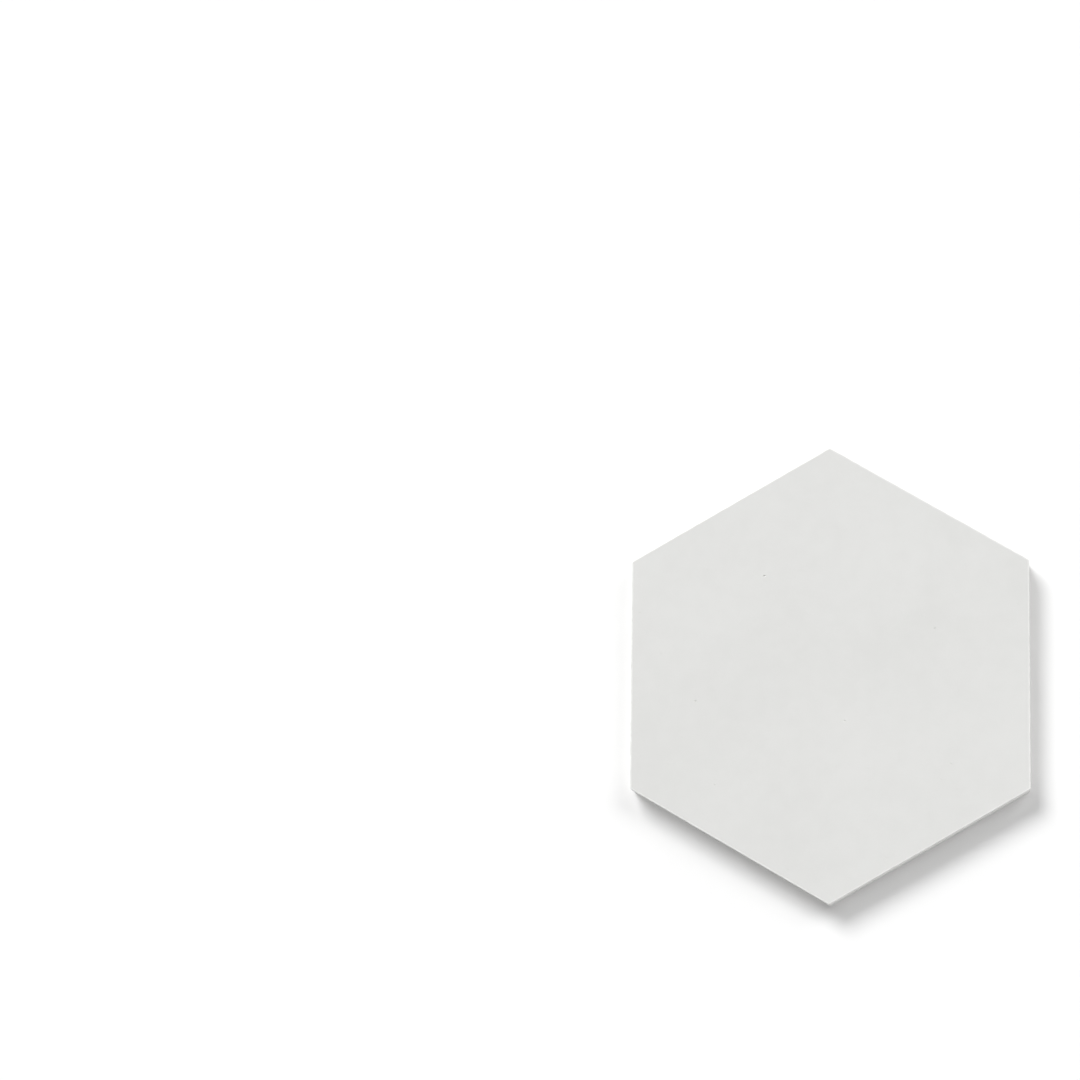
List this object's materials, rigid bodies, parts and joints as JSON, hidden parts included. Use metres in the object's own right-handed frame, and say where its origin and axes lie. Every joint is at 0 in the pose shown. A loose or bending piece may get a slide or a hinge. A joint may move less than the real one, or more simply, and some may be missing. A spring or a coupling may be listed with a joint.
{
  "type": "hexagonal cement tile",
  "caption": "Flat hexagonal cement tile with a plain matte off-white face, straight butting sides and a keyed back, for covering a floor or wall.",
  "frame": {"origin": "centre of the back, which is the lowest plane", "axes": "+Z out of the walking face, +X square to two of the sides across the flats, +Y towards a corner"},
  "size_m": [0.2, 0.2306, 0.016],
  "materials": {
    "cement": "matte"
  },
  "bodies": {
    "root": {"tile": "cement"}
  },
  "joints": []
}
